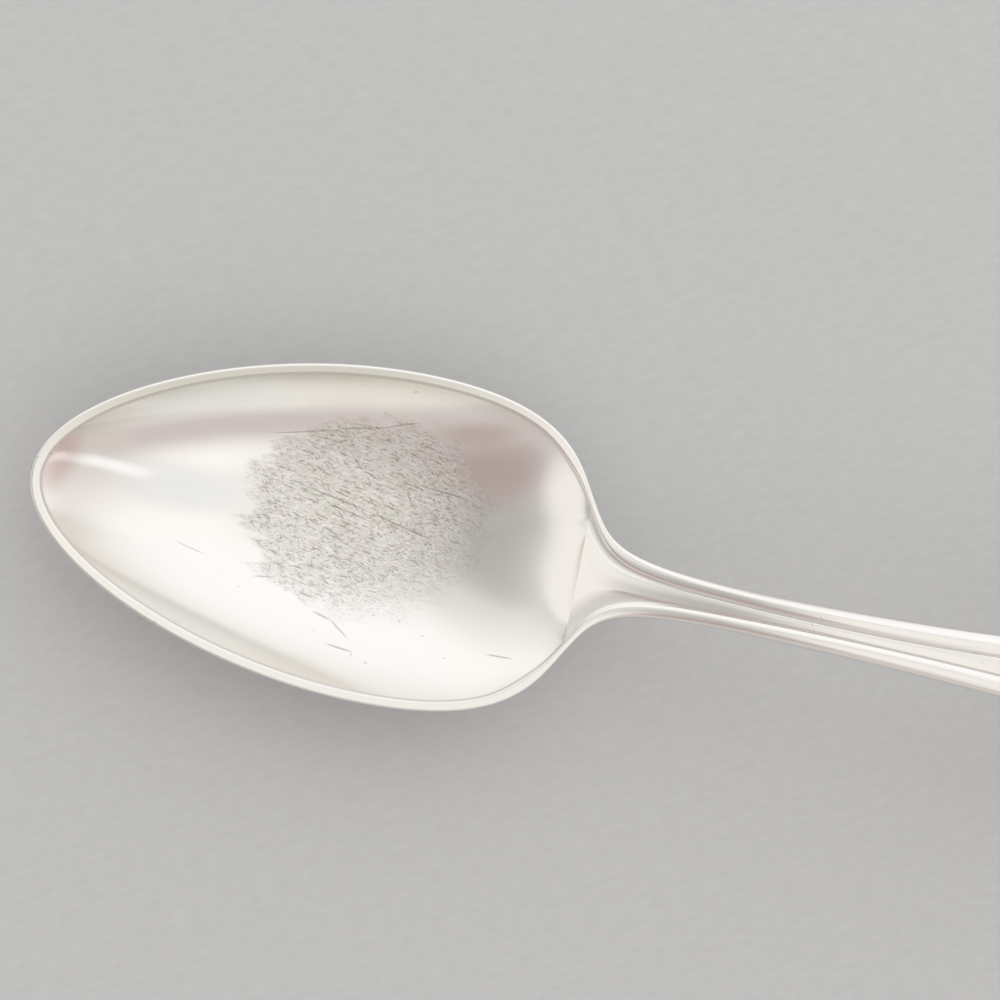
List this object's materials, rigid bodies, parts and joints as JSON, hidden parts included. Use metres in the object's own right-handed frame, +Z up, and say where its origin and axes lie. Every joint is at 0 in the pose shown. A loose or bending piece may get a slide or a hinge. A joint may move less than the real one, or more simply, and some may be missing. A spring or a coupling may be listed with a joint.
{
  "type": "teaspoon",
  "caption": "Teaspoon with a pointed oval bowl, a narrow neck and an arched handle that flares to a rounded end, with a raised thread along its edges.",
  "frame": {"origin": "centre of the bounding box, on the surface that the spoon rests on", "axes": "+X along the spoon from the bowl to the end of the handle, +Z up out of the bowl, +Y across it"},
  "size_m": [0.14, 0.0278, 0.0186],
  "materials": {
    "silver_plate": "polished silver plate on nickel silver, worn, with fine scratches"
  },
  "bodies": {
    "root": {"bowl": "silver_plate", "heel_drop": "silver_plate", "neck": "silver_plate", "stem": "silver_plate", "handle_end": "silver_plate"}
  },
  "joints": []
}
